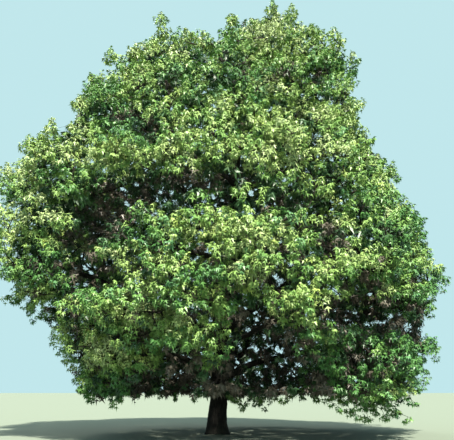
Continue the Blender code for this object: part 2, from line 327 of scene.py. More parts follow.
trunk_zs = np.concatenate([np.arange(0, 3.0, 0.055), np.arange(3.0, TRUNK_HEIGHT + 0.01, 0.15)])
trunk_pts = np.array([trunk_line(z) for z in trunk_zs])
trunk_pts[0][2] = 0.0
verts, faces = bark_tube(trunk_pts, np.array([trunk_radius(z) for z in trunk_zs]), 64, 0.013, 0.0, flare=True)
verts[:64, 2] = 0.0
trunk_piece = mesh_object("trunk_bark", verts, faces, [BARK_DARKENED_AS_SHADE], smooth=True)

trunk_ids = grow([trunk_line(z) for z in np.arange(0.0, TRUNK_HEIGHT + 0.01, 0.25)], -1)
limb_ids = {}
bough_verts, bough_faces, base = [], [], 0
for k, (name, mass, leave, radius, arch, end) in enumerate(BOUGHS):
    pts = bough_line(leave, end, arch, 44)
    f = np.linspace(0, 1, len(pts))
    # small bends that the plain curve has not, none at the ends
    sway = np.array([noise.noise_vector(Vector((3.1 * k, 7.7, 5.0 * t))) for t in f])
    pts = pts + sway * (0.16 * np.sin(math.pi * f) ** 2)[:, None]
    r = radius * (1 - (1 - BOUGH_TIP) * f)
    r = r * (1 + 0.45 * np.exp(-f * 22))           # the collar at the trunk
    verts, faces = bark_tube(pts, r, 16, 0.007, 3.0 + k)
    bough_verts.append(verts)
    bough_faces.append(faces + base)
    base += len(verts)
    at = int(np.argmin([abs(pos[i][2] - leave) for i in trunk_ids]))
    limb_ids[mass] = grow(pts[3::4], trunk_ids[at])
bough_piece = mesh_object("bough_bark", np.concatenate(bough_verts), np.concatenate(bough_faces), [BARK_DARKENED_AS_SHADE], smooth=True)

# ------------------------------------------------------------------- masses
mass_names = sorted(n for n in nodes if n.startswith("leaf_mass"))
mass_number = {n: i for i, n in enumerate(mass_names)}
MASS = {}
all_v, all_f, off = [], [], 0
for name in mass_names:
    me = nodes[name].data
    v = np.array([tuple(x.co) for x in me.vertices])
    me.calc_loop_triangles()
    t = np.array([tuple(x.vertices) for x in me.loop_triangles])
    p = v[t]
    cr = np.cross(p[:, 1] - p[:, 0], p[:, 2] - p[:, 0])
    area = np.linalg.norm(cr, axis=1) / 2
    vol = np.einsum("ij,ij->i", p[:, 0], np.cross(p[:, 1], p[:, 2])) / 6
    centre = (p.sum(1) / 4 * vol[:, None]).sum(0) / vol.sum()
    MASS[name] = {"v": v, "t": t, "n": unit(cr), "area": area, "c": centre, "vol": vol.sum()}
    all_v.append(v)
    all_f.append(t + off)
    off += len(v)
ALL_V = np.concatenate(all_v)
CROWN = BVHTree.FromPolygons([Vector(x) for x in ALL_V], [list(map(int, x)) for x in np.concatenate(all_f)])

# the smooth hull round all the masses
hull_bm = bmesh.new()
for x in ALL_V:
    hull_bm.verts.new(x)
made = bmesh.ops.convex_hull(hull_bm, input=hull_bm.verts)
bmesh.ops.delete(hull_bm, geom=[g for g in made["geom_interior"] if isinstance(g, bmesh.types.BMVert)], context="VERTS")
HULL = BVHTree.FromBMesh(hull_bm)
hull_bm.free()

# limbs to the masses that no bough enters, each from the wood that suits it best
todo = [n for n in mass_names if n not in limb_ids]
top_mass = min(mass_names, key=lambda n: np.linalg.norm(MASS[n]["c"] - trunk_line(TRUNK_HEIGHT)))
limb_ids[top_mass] = trunk_ids[-8:]
todo.remove(top_mass)
secondary = []
while todo:
    wood = np.array(pos)
    par = np.array(parent)
    heading = unit(wood - wood[np.maximum(par, 0)] + 1e-6)
    best = None
    for name in todo:
        d = MASS[name]["c"] - wood
        dist = np.linalg.norm(d, axis=1)
        flat = np.hypot(d[:, 0], d[:, 1])
        cost = dist + 2.0 * np.maximum(0, 0.25 * flat - d[:, 2]) + 1.2 * (1 - np.einsum("ij,ij->i", unit(d), heading))
        cost += 30.0 * (wood[:, 2] < 1.7)
        k = int(np.argmin(cost))
        if best is None or cost[k] < best[0]:
            best = (cost[k], name, k)
    _, name, k = best
    a, b = wood[k], MASS[name]["c"]
    d = b - a
    dist = np.linalg.norm(d)
    out = unit((b - trunk_line(b[2])) * (1, 1, 0.0))
    start_dir = unit(0.7 * heading[k] + 0.8 * unit(d) + 0.25 * UP)
    end_dir = unit(unit(d) + 0.5 * out)
    pts = bezier(a, a + start_dir * 0.36 * dist, b - end_dir * 0.30 * dist, b, max(4, int(dist / 0.28)))
    f = np.linspace(0, 1, len(pts))
    sway = np.array([noise.noise_vector(Vector((9.1 * len(todo), 2.7, 4.0 * t))) for t in f])
    pts = pts + sway * (0.22 * np.sin(math.pi * f))[:, None]
    ids = grow(pts[1:], k)
    limb_ids[name] = ids
    secondary.append([k] + ids)
    todo.remove(name)

# --------------------------------------------------- clumps, sprays and twigs
SPRAYS_IN_CLUMP = 16
CLUMP_SPACING = 1.00
CLUMP_RADIUS = (0.50, 0.86)
INNER_RATE = 2.2                  # inner sprays for each cubic metre, about

# outline of the crown in the photograph: height of its top over u, and reach over v (pixels)
TOP_LINE = ((96, 72), (110, 49), (118, 53), (128, 52), (140, 45), (150, 36), (156, 34), (158, 18), (164, 18),
            (172, 31), (180, 28), (192, 28), (205, 31), (214, 42), (222, 26), (226, 15), (236, 15), (239, 23),
            (248, 21), (262, 19),
            (269, 16), (270, 1), (278, 10), (286, 13), (288, 6), (295, 7), (298, 21), (306, 22), (318, 28),
            (324, 31), (327, 27), (337, 26), (344, 38), (351, 46), (357, 50), (361, 80))
LEFT_LINE = ((48, 109), (62, 107), (70, 106), (73, 88), (86, 87), (92, 80), (98, 78), (102, 82), (112, 80), (118, 75),
             (122, 67), (127, 48), (133, 43), (137, 27), (144, 26), (148, 30), (154, 26), (158, 16), (163, 9),
             (176, -2), (215, -30), (277, -30), (280, 14), (290, 17), (294, 2), (303, 8), (308, 22), (316, 24),
             (340, 50), (385, 78), (400, 84))
RIGHT_LINE = ((48, 352), (54, 359), (72, 359), (84, 362), (88, 353), (95, 355), (99, 363), (108, 362), (111, 355),
              (121, 359), (128, 366), (131, 370), (144, 372), (148, 375), (154, 379), (158, 386), (165, 390),
              (167, 400), (173, 400), (177, 393), (190, 398), (197, 403), (199, 413), (206, 415), (220, 426),
              (250, 435), (260, 440), (266, 441), (274, 448), (289, 452), (293, 436), (300, 436), (330, 440), (380, 436),
              (410, 424))

# notches in that outline: u, v, radius (pixels)
NOTCHES = ((62, 127, 6), (375, 147, 6), (395, 177, 6), (217, 37, 5), (283, 9, 4), (341, 38, 5), (353, 91, 5),
           (268, 13, 5), (84, 81, 4), (105, 59, 5), (429, 238, 4))
# small openings that the photograph shows: u, v, radius (pixels)
OPENINGS = (
    (122.5, 189, 1.8), (136, 184.5, 2.0), (128, 205, 2.2), (126, 202, 1.4), (160.5, 191.5, 1.6), (163, 188.5, 1.3),
    (157, 199.5, 1.8), (165, 201, 3.0), (172, 192, 1.5), (174, 201, 2.2), (179, 193.5, 1.4), (191, 186, 1.4),
    (209, 187, 1.8), (213, 197.5, 1.9), (216, 205, 2.0), (222, 200, 2.0), (226.5, 202, 1.5), (232.5, 201, 1.9),
    (238.5, 182, 1.4), (251, 193.5, 2.2), (257, 189, 1.8), (266, 207, 1.2), (57, 211, 1.8), (83, 257, 3.2),
    (86, 267, 3.8), (91, 273, 2.0), (86, 284, 2.6), (95, 268, 1.6), (119, 286, 2.2), (28, 299, 3.4), (38, 308, 2.8), (23, 304, 2.4), (46, 305, 2.0), (51, 274, 1.6),
    (53, 324, 1.6), (276, 276, 2.6), (281, 281, 3.0), (279, 286, 1.6), (334, 290, 2.6), (338, 294, 2.0),
    (357, 288, 1.8), (370, 294, 2.4), (254, 312, 2.0), (256, 320, 2.4), (249, 330, 2.0), (276, 349, 2.6),
    (281, 352, 2.0), (257, 350, 1.8), (301, 349, 1.8), (338, 343, 1.4), (430, 298, 1.8), (243, 354, 1.4),
    (171, 108, 1.2), (204, 92, 1.2), (265, 338, 1.8), (290, 330, 1.4), (222, 352, 1.2), (300, 365, 1.4),
    (245, 371, 1.2), (180, 372, 1.2), (239.5, 358.5, 1.7), (251, 361, 1.6), (266, 367, 1.6),
    (301, 356, 1.5), (316, 341.5, 1.4), (286, 363, 1.5), (234, 379, 1.3), (247, 384, 1.3), (262, 386, 1.4),
    (276, 383, 1.3), (271, 360, 1.4), (294, 372, 1.2), (236, 368, 1.2), (257, 375, 1.2), (260.5, 325, 1.6), (271, 319, 1.4), (235.5, 320.5, 1.2), (276, 356, 1.8),
    (251, 361, 1.8), (238, 361, 1.8), (266.5, 366.5, 1.4), (257, 373, 1.2), (282, 367, 1.4), (201.5, 349, 2.0),
    (192, 350, 1.4), (209, 337, 1.2), (244.5, 309, 1.4),
)
# hollows of shade in the front of the crown: u, v, half width, half height (pixels),
# depth coordinate that they reach back to
HOLLOWS = (
    (205, 178, 48, 9, -3.9), (135, 188, 38, 12, -3.4), (95, 212, 24, 12, -3.0), (96, 229, 20, 12, -3.0),
    (96, 268, 18, 14, -2.6), (226, 195, 16, 8, -3.9), (330, 236, 14, 18, -4.0), (355, 310, 40, 18, -2.4),
    (262, 345, 36, 38, -1.4), (160, 380, 46, 15, -1.6), (262, 376, 60, 12, -1.0), (76, 344, 11, 32, -2.4),
    (282, 279, 9, 7, -3.4), (181, 352, 10, 7, -3.4), (242, 62, 10, 12, -2.8), (114, 207, 20, 20, -4.4),
    (285, 200, 30, 8, -4.4), (321, 226, 10, 9, -4.4), (77, 240, 16, 13, -2.6), (150, 238, 9, 6, -6.0), (155, 308, 14, 7, -5.4), (139, 332, 11, 14, -4.6),
    (194, 309, 9, 8, -5.6), (119, 113, 15, 8, -3.6), (236, 84, 7, 9, -4.6), (287, 71, 12, 8, -3.8),
    (316, 73, 8, 10, -2.0), (169, 84, 10, 5, -4.8), (149, 125, 9, 14, -4.6), (244, 123, 8, 8, -5.4), (362, 348, 14, 18, -2.6),
    (405, 300, 12, 9, -2.2),
)
# painted light and painted shade: lighter and darker reaches of the front, where the light falls brighter or the crown
# lies in shade: u, v, half width, half height (pixels), tint
PAINTED_LIGHT_PATCHES = (
    (246, 232, 66, 20, 0.30), (246, 264, 34, 18, 0.28), (300, 118, 48, 40, 0.10), (145, 150, 90, 17, 0.28),
    (270, 155, 50, 20, 0.34), (345, 148, 34, 18, 0.18), (40, 204, 30, 20, 0.34), (18, 160, 20, 20, 0.30),
    (14, 236, 16, 24, 0.32), (150, 312, 56, 18, 0.24), (292, 302, 30, 16, 0.14), (34, 300, 26, 16, 0.10),
    (108, 356, 28, 26, 0.44), (264, 80, 18, 10, 0.38), (165, 42, 56, 14, 0.24), (190, 128, 16, 18, 0.18),
    (128, 168, 24, 8, 0.26), (232, 165, 26, 6, 0.22), (396, 381, 26, 16, 0.42), (234, 96, 20, 9, 0.22),
    (266, 30, 28, 20, 0.44), (160, 108, 72, 60, -0.07), (180, 186, 52, 14, -0.28), (110, 212, 40, 34, -0.32),
    (288, 201, 44, 12, -0.42), (85, 268, 27, 24, -0.12), (275, 355, 48, 40, -0.34), (385, 345, 62, 50, -0.44),
    (150, 380, 76, 22, -0.30), (240, 72, 20, 20, -0.20), (116, 116, 34, 18, -0.44), (408, 222, 28, 32, -0.42),
    (378, 220, 20, 12, -0.34), (46, 262, 30, 26, -0.28), (180, 70, 30, 18, -0.36), (432, 284, 24, 22, -0.40),
    (209, 270, 31, 10, -0.58), (154, 239, 23, 12, -0.54), (148, 132, 18, 19, -0.42), (98, 86, 24, 16, -0.32),
    (332, 66, 32, 26, -0.30), (288, 70, 18, 10, -0.38), (78, 176, 32, 22, -0.34), (94, 288, 32, 10, -0.36),
    (402, 298, 24, 14, -0.38), (358, 184, 20, 8, -0.24), (160, 222, 22, 24, -0.22), (114, 232, 22, 14, -0.26),
    (222, 252, 18, 8, 0.30),
)
# parts of drooping boughs that come forward of the rest: u, v and depth coordinate
CASCADES = ((158, 262, -7.7), (183, 270, -7.9), (208, 275, -7.9), (232, 270, -7.9), (256, 264, -7.8),
            (276, 298, -7.1), (293, 294, -7.2), (309, 300, -7.0), (325, 309, -6.8), (110, 297, -6.7),
            (130, 292, -7.0), (150, 291, -7.2), (171, 296, -7.3), (192, 301, -7.3), (345, 262, -6.9),
            (366, 262, -6.4), (246, 246, -8.0), (222, 250, -8.0), (212, 300, -7.0), (223, 306, -6.8),
            (214, 316, -6.5), (196, 330, -6.4), (203, 344, -6.0), (207, 359, -5.4),
            (172, 334, -6.6), (183, 337, -6.6), (284, 127, -7.3), (293, 134, -7.3), (147, 366, -5.2),
            (198, 212, -7.3), (213, 213, -7.4), (322, 273, -7.0), (333, 270, -6.6), (2, 212, -3.9),
            (224, 151, -7.2), (240, 147, -7.2), (256, 147, -7.2), (266, 157, -7.2), (252, 160, -7.2),
            (135, 153, -6.9), (150, 155, -7.0), (118, 151, -6.5), (100, 149, -6.2), (166, 153, -7.0),
            (190, 139, -7.0), (98, 168, -6.3), (262, 28, -2.3), (275, 27, -2.6), (268, 37, -3.2), (286, 34, -3.2),
            (4, 243, -4.2), (10, 297, -2.4), (383, 186, -5.7), (200, 228, -7.3), (225, 228, -7.5), (256, 227, -7.5),
            (257, 238, -7.5), (283, 172, -6.9), (12, 220, -4.2), (3, 268, -3.8), (221, 98, -5.4), (197, 117, -6.6),
            (140, 218, -6.2), (242, 96, -5.8), (352, 172, -6.0), (172, 277, -7.4), (337, 312, -6.0), (306, 238, -7.3),
            (260, 126, -7.0), (294, 160, -6.8), (107, 249, -5.4), (116, 244, -5.7), (108, 352, -4.8), (243, 272, -7.4))
# upright shoots that break the outline: u, v of the tip and depth coordinate
SHOOTS = ((272, 2, -1.4), (291, 6, -1.3), (231, 15, -1.9), (161, 13, -2.2), (163, 24, -2.2), (333, 28, -1.2),
          (111, 49, -2.4), (53, 119, -3.2), (29, 136, -3.4), (41, 133, -3.4), (8, 164, -3.2), (136, 44, -2.4),
          (91, 75, -2.2), (204, 32, -2.6), (352, 53, -1.2), (352, 66, -1.2), (339, 37, -1.2), (312, 25, -1.0),
          (252, 20, -1.5), (392, 164, -3.0), (366, 129, -3.0), (406, 200, -3.0), (80, 96, -2.6), (186, 30, -1.8),
          (101, 77, -2.8))
# thin twigs that hang under the skirts: u, v of the tip and depth coordinate
HANGING = ((346, 402, -3.0), (354, 412, -3.2), (361, 405, -3.0), (371, 399, -2.8), (376, 413, -3.0),
           (388, 419, -3.2), (392, 406, -2.6), (400, 414, -2.8), (408, 420, -3.0), (414, 405, -2.4),
           (237, 402, -1.2), (243, 409, -1.3), (196, 401, -1.0), (331, 399, -2.8), (174, 399, -1.4),
           (368, 421, -3.2), (397, 399, -2.6), (302, 398, -1.5), (316, 401, -2.2), (275, 399, -1.4),
           (258, 401, -1.4), (288, 401, -1.8), (383, 403, -2.8), (356, 398, -2.9))


def hollow_at(u, v):
    return any(((u - hu) / ru) ** 2 + ((v - hv) / rv) ** 2 < 1.2 for hu, hv, ru, rv, _ in HOLLOWS)


def in_hollows(p):
    u, v, _ = to_frame(p)
    out = np.zeros(len(p))
    for hu, hv, ru, rv, back in HOLLOWS:
        k = ((u - hu) / ru) ** 2 + ((v - hv) / rv) ** 2
        out = np.maximum(out, np.where((k < 1.0) & (p[:, 1] < back), 1.0 - 0.6 * k, 0.0))
    return out


def painted_light_tint(p):
    # painted light and shade: a lighter or darker tint for sprays in the front's reaches
    u, v, _ = to_frame(p)
    out = np.zeros(len(p))
    for pu, pv, ru, rv, amount in PAINTED_LIGHT_PATCHES:
        k = ((u - pu) / ru) ** 2 + ((v - pv) / rv) ** 2
        out += amount * np.clip(1.6 * (1.0 - k), 0.0, 1.0)
    return out * np.clip((1.2 - p[:, 1]) / 2.0, 0.0, 1.0)


def past_outline(p, spare):
    """True for points that the photograph's outline leaves outside by more than spare pixels."""
    u, v, _ = to_frame(p)
    top = np.interp(u, [a for a, _ in TOP_LINE], [b for _, b in TOP_LINE])
    left = np.interp(v, [a for a, _ in LEFT_LINE], [b for _, b in LEFT_LINE])
    right = np.interp(v, [a for a, _ in RIGHT_LINE], [b for _, b in RIGHT_LINE])
    upper = (u > 96) & (u < 361) & (v < top - spare)
    sides = (v > 48) & ((u < left - spare) | (u > right + spare))
    corners = (v <= 48) & ((u < 96) | (u > 361))
    notched = np.zeros(len(p), bool)
    for nu, nv, r in NOTCHES:
        notched |= (u - nu) ** 2 + (v - nv) ** 2 < r * r
    return upper | sides | corners | notched


clumps = []          # mass, centre, radius, outward direction, tint, stands outside
rng = np.random.default_rng(41)
for name in mass_names:
    m = MASS[name]
    c = m["c"]
    axis = trunk_line(min(c[2], 14.0))
    out = unit((c - axis) * (1, 1, 0))
    pick = rng.choice(len(m["t"]), size=900, p=m["area"] / m["area"].sum())
    bary = rng.dirichlet((1, 1, 1), size=900)
    pts = (m["v"][m["t"][pick]] * bary[:, :, None]).sum(1)
    nrm = m["n"][pick]
    kept = []
    mass_tint = rng.normal(0, 0.09)
    for p, n in zip(pts, nrm):
        facing = n @ unit((p - axis) * (1, 1, 0)) * 0.8 + n[2] * 0.45
        hit = CROWN.ray_cast(Vector(p + n * 0.03), Vector(n), 1.4)[0]
        chance = 1.0
        if hit is not None:
            chance = 0.30
        if facing < -0.35:
            chance = min(chance, 0.60 if "skirt" in name and n[2] < -0.6 else 0.22)
        if rng.random() > chance:
            continue
        gap = CLUMP_SPACING * (1.0 if hit is None else 1.25)
        if all((p - q) @ (p - q) > gap * gap for q, _, _ in kept):
            kept.append((p, n, hit is None and facing > -0.35))
    for p, n, outer in kept:
        r = rng.uniform(*CLUMP_RADIUS)
        centre = p - n * (r * 0.80 + rng.normal(0, 0.14))
        if not past_outline(centre[None], -2.0)[0]:
            clumps.append([name, centre, r, unit(n + 0.25 * out), mass_tint + rng.normal(0, 0.15), outer])


def nearest_mass(p):
    return min(mass_names, key=lambda n: np.linalg.norm(MASS[n]["c"] - p))


for u, v, y in CASCADES:
    p = from_frame(u, v, max(y, CAD_LOW[1] + 0.62))
    clumps.append([nearest_mass(p), p, rng.uniform(0.42, 0.60), unit(np.array((0.0, -0.8, 0.5))),
                   rng.normal(0.0, 0.10), True])

# and clumps that bridge the front's seams between masses, but not its hollows
rng = np.random.default_rng(45)
for v0 in np.arange(62, 318, 10.5):
    for u0 in np.arange(8, 446, 12.0):
        u, v = u0 + rng.uniform(-4, 4), v0 + rng.uniform(-3, 3)
        ahead = unit(from_frame(u, v, 0.0) - EYE)
        near = HULL.ray_cast(Vector(EYE), Vector(ahead))[0]
        skin = CROWN.ray_cast(Vector(EYE), Vector(ahead))[0]
        back, size, shade = rng.uniform(0.55, 0.95), rng.uniform(0.40, 0.60), rng.normal(0.0, 0.12)
        if near is None or hollow_at(u, v) or (skin is not None and (skin - near).length < 1.25):
            continue
        p = np.array(near) + ahead * (back + 0.15)
        if past_outline(p[None], -9.0)[0] or p[1] > -1.0 or p[1] < CAD_LOW[1] + 0.55:
            continue
        if min(np.linalg.norm(p - c[1]) for c in clumps) < 0.80:
            continue
        clumps.append([nearest_mass(p), p, size, unit(np.array((0.0, -0.8, 0.5))), shade, True])

shoot_clumps = []
for u, v, y in SHOOTS:
    ahead = unit(from_frame(u, v + 14, y) - EYE)
    hit = CROWN.ray_cast(Vector(EYE), Vector(ahead))[0]
    if hit is not None:
        y = hit[1] + 0.25
    p = from_frame(u, v, y)
    shoot_clumps.append([nearest_mass(p), p - UP * 0.42, 0.30, UP, rng.normal(0.05, 0.1), True])

spray_p, spray_dir, spray_out, spray_mass, spray_tint, spray_kind = [], [], [], [], [], []
chains = []                       # lists of skeleton points, each a branch
twig_chains = []


def add_spray(p, direction, out, mass, tint, kind):
    """kind: 0 outside, 1 between masses, 2 shaded inside, 3 on a shoot, 4 on a hanging twig."""
    spray_p.append(p)
    spray_dir.append(unit(direction))
    spray_out.append(unit(out))
    spray_mass.append(mass_number[mass])
    spray_tint.append(tint)
    spray_kind.append(kind)


def branch_to(target, candidates, bend=0.12, step=0.32, pull=0.35):
    """Grows a branch to target from the best of the candidate points."""
    at = np.array([pos[i] for i in candidates])
    d = target - at
    dist = np.linalg.norm(d, axis=1)
    k = int(np.argmin(dist + pull * np.maximum(0, -d[:, 2])))
    a, dist = at[k], dist[k]
    n = max(2, int(round(dist / step)) + 1)
    back = parent[candidates[k]]
    head = unit(a - pos[back]) if back >= 0 else UP
    p1 = a + (0.55 * head + 0.45 * unit(target - a)) * 0.4 * dist
    p2 = target - unit(target - a + UP * 0.15 * dist) * 0.3 * dist
    pts = bezier(a, p1, p2, target, n)
    pts[1:-1] += rng.normal(0, bend * 0.25, size=(n - 2, 3))
    ids = grow(pts[1:], candidates[k])
    chains.append([candidates[k]] + ids)
    return ids


mass_wood = {}
for name in mass_names:
    rng = np.random.default_rng(100 + mass_number[name])
    m = MASS[name]
    hub = list(limb_ids[name][-max(3, len(limb_ids[name]) // 3):])
    own = [c for c in clumps + shoot_clumps if c[0] == name]
    own.sort(key=lambda c: np.linalg.norm(c[1] - m["c"]))
    wood_here = list(hub)
    for _, centre, r, n, tint, outer in own:
        ids = branch_to(centre, wood_here)
        wood_here += ids
        shoot = r < 0.31
        count = 7 if shoot else max(4, int(round(SPRAYS_IN_CLUMP * (r / 0.70) ** 1.6 * (1.0 if outer else 0.55))))
        d = scatter_dirs(count * 5)
        d = unit(d + 0.55 * n + 0.40 * UP)
        # spread them: keep those that stand furthest apart
        take = [0]
        far = np.linalg.norm(d - d[0], axis=1)
        for _i in range(count - 1):
            k = int(np.argmax(far))
            take.append(k)
            far = np.minimum(far, np.linalg.norm(d - d[k], axis=1))
        d = d[take]
        reach = r * rng.uniform(0.70, 1.08, size=(len(d), 1))
        if shoot:
            d[0], reach[0] = UP, 1.05 * r
        if outer and not shoot:
            # now and then a leader stands clear of its clump
            reach += np.where(rng.random((len(d), 1)) < 0.06, rng.uniform(0.15, 0.38, (len(d), 1)), 0.0)
        tips = centre + d * reach * (1, 1, 1.5 if shoot else 0.78)
        near = ids[-3:]
        for t, dd in zip(tips, d):
            k = near[int(np.argmin([np.linalg.norm(pos[i] - t) for i in near]))]
            a = pos[k]
            twig_chains.append([k] + grow([t], k))
            # painted light: sprays on the top of a clump get a lighter green and those underneath a darker one
            painted_top_light = 0.25 * dd[2]
            add_spray(t, unit(t - a) + 0.30 * dd + 0.15 * n + 0.35 * UP, 0.6 * n + 0.6 * dd + 0.35 * UP, name,
                      tint + painted_top_light + rng.normal(0, 0.13), 3 if shoot else (0 if outer else 1))
    # the shaded leaves inside the mass
    inner = int(round(INNER_RATE * m["vol"] ** 0.95))
    pick = rng.choice(len(m["t"]), size=inner, p=m["area"] / m["area"].sum())
    bary = rng.dirichlet((1, 1, 1), size=inner)
    skin = (m["v"][m["t"][pick]] * bary[:, :, None]).sum(1)
    depth = rng.uniform(0.45, 0.84, size=(inner, 1)) ** 0.8
    tips = m["c"] + (skin - m["c"]) * depth
    here = np.array([pos[i] for i in wood_here])
    for t in tips:
        k = int(np.argmin(((here - t) ** 2).sum(1)))
        twig_chains.append([wood_here[k]] + grow([t], wood_here[k]))
        add_spray(t, t - here[k] + 1e-6, unit(t - m["c"]) + 0.5 * UP, name, rng.normal(0, 0.2), 2)
    mass_wood[name] = wood_here

rng = np.random.default_rng(42)
# shaded sprays go where the crown would be thin: seen from the photograph's place, from all
# round and from above, each cell inside the outline gets leaves enough to close it
CELL = 0.25                       # metres, and pixels over CELL_PIXELS from the photograph's place
CELL_PIXELS = 6.5
CLOSED = (3.8, 2.8)               # layers of leaf, from the photograph's place and from elsewhere
KERNEL = np.outer((0.25, 0.5, 0.25), (0.25, 0.5, 0.25))
ORIGIN, SPAN = 70, 140            # of the cells


def looks():
    """For each way of looking: where points fall in cells, and the ray of a cell."""
    def photo(p):
        u, v, _ = to_frame(p)
        return np.stack([(u - 227) / CELL_PIXELS + ORIGIN, (220 - v) / CELL_PIXELS + ORIGIN], -1)

    def photo_ray(i, j):
        return EYE, unit(from_frame(227 + (i - ORIGIN) * CELL_PIXELS, 220 - (j - ORIGIN) * CELL_PIXELS, 0.0) - EYE)

    out = [(photo, photo_ray)]
    middle = np.array((0.0, 0.0, 9.0))
    for az, el in [(a, 8) for a in range(0, 360, 45)] + [(a, 32) for a in range(20, 360, 72)] + [(0, 85)]:
        az, el = math.radians(az), math.radians(el)
        ahead = np.array((-math.sin(az) * math.cos(el), math.cos(az) * math.cos(el), -math.sin(el)))
        right = unit(np.cross(ahead, UP))
        above = np.cross(right, ahead)

        def flat(p, right=right, above=above):
            d = p - middle
            return np.stack([d @ right / CELL + ORIGIN, d @ above / CELL + ORIGIN], -1)

        def flat_ray(i, j, ahead=ahead, right=right, above=above):
            return middle + right * ((i - ORIGIN) * CELL) + above * ((j - ORIGIN) * CELL) - ahead * 30.0, ahead

        out.append((flat, flat_ray))
    return out


LOOKS = looks()
pp = np.array(spray_p)
kk = np.array(spray_kind)
there = ~(past_outline(pp, 1.5) & (kk != 3)) & (rng.random(len(pp)) > in_hollows(pp))
weight = np.where(kk == 2, 1.3, 0.60)
want = []
for n, (where, ray) in enumerate(LOOKS):
    closed = CLOSED[min(n, 1)]
    cover = np.zeros((SPAN + 2, SPAN + 2))
    ij = np.clip(np.rint(where(pp[there])).astype(int), 1, SPAN)
    for di in (-1, 0, 1):
        for dj in (-1, 0, 1):
            np.add.at(cover, (ij[:, 0] + di, ij[:, 1] + dj), weight[there] * KERNEL[di + 1, dj + 1])
    inside = np.zeros_like(cover)
    target = np.full_like(cover, closed)
    if n == 0:
        for i in range(1, SPAN + 1):
            for j in range(1, SPAN + 1):
                v = 220 - (j - ORIGIN) * CELL_PIXELS
                if hollow_at(227 + (i - ORIGIN) * CELL_PIXELS, v):
                    target[i, j] *= 1.85 if v < 300 else 1.3
    for i in range(1, SPAN + 1):
        for j in range(1, SPAN + 1):
            if cover[i, j] >= target[i, j]:
                continue
            start, ahead = ray(i, j)
            first = HULL.ray_cast(Vector(start), Vector(ahead))[0]
            if first is None:
                continue
            last = HULL.ray_cast(Vector(start + ahead * 90.0), Vector(-ahead))[0]
            if last is None or (last - first).length < 2.2:
                continue
            if CROWN.ray_cast(Vector(start), Vector(ahead))[0] is None and (last - first).length < 5.0:
                continue
            mid = np.array((first + last) / 2)
            if mid[2] < 1.4 or (where is LOOKS[0][0] and past_outline(np.array(first)[None], -6.0)[0]):
                continue
            inside[i, j] = 1.0
    want.append([cover, inside, target])

wood_tree = KDTree(len(pos))
for i, p in enumerate(pos):
    if p[2] > 1.7 or math.hypot(p[0], p[1]) > 1.5:
        wood_tree.insert(Vector(p), i)
wood_tree.balance()
seeds = np.column_stack([rng.uniform(CAD_LOW[i] + 0.5, CAD_HIGH[i] - 0.5, 70000) for i in range(3)])
seeds = seeds[seeds[:, 2] > 1.45]
seeds = seeds[(in_hollows(seeds) == 0.0) & ~past_outline(seeds, -4.0)]
cells = [np.rint(where(seeds)).astype(int) for where, _ in LOOKS]
shortage = np.zeros(len(seeds))
for (cover, inside, target), ij in zip(want, cells):
    short = inside * np.maximum(0.0, target - cover)
    blurred = sum(KERNEL[a, b] * short[a:SPAN + a, b:SPAN + b] for a in range(3) for b in range(3))
    at = np.clip(ij, 1, SPAN) - 1
    shortage = np.maximum(shortage, np.where(((ij >= 1) & (ij <= SPAN)).all(1), blurred[at[:, 0], at[:, 1]], 0.0))
fills = []
for n in np.where(shortage >= 0.40)[0]:
    p = seeds[n]
    need = 0.0
    for (cover, inside, target), ij in zip(want, cells):
        i, j = ij[n]
        if 1 <= i <= SPAN and 1 <= j <= SPAN:
            part = slice(i - 1, i + 2), slice(j - 1, j + 2)
            short = np.maximum(0.0, target[part] - cover[part])
            need = max(need, float((KERNEL * inside[part] * short).sum()))
    if need < 0.40:
        continue
    if HULL.ray_cast(Vector(p), Vector((0, 0, 1)))[0] is None or HULL.ray_cast(Vector(p), Vector((0, 0, -1)))[0] is None:
        continue
    _, normal, _, gap = HULL.find_nearest(Vector(p))
    if gap < (0.15 if abs(normal[2]) > 0.8 and p[2] < 3.0 else 0.8):
        continue
    fills.append(p)
    for (cover, inside, target), ij in zip(want, cells):
        i, j = ij[n]
        if 1 <= i <= SPAN and 1 <= j <= SPAN:
            cover[i - 1:i + 2, j - 1:j + 2] += 1.3 * KERNEL
for p in fills:
    k = wood_tree.find(Vector(p))[1]
    if np.linalg.norm(p - pos[k]) > 0.8:
        k = branch_to(p - unit(p - pos[k]) * 0.25, [k])[-1]
    # in the seams of the top, with nothing above them, they are like the outer ones
    bare = p[2] > 10.5 and CROWN.ray_cast(Vector(p), Vector((0, 0, 1)))[0] is None
    for t in p + rng.normal(0, 0.17, (3, 3)) if bare else [p]:
        twig_chains.append([k] + grow([t], k))
        add_spray(t, t - pos[k] + 1e-6, unit(t - trunk_line(min(t[2], 14.0))) + 0.5 * UP, nearest_mass(t),
                  rng.normal(0, 0.2), 1 if bare else 2)

rng = np.random.default_rng(43)
hanging = [from_frame(u, v, y) for u, v, y in HANGING]
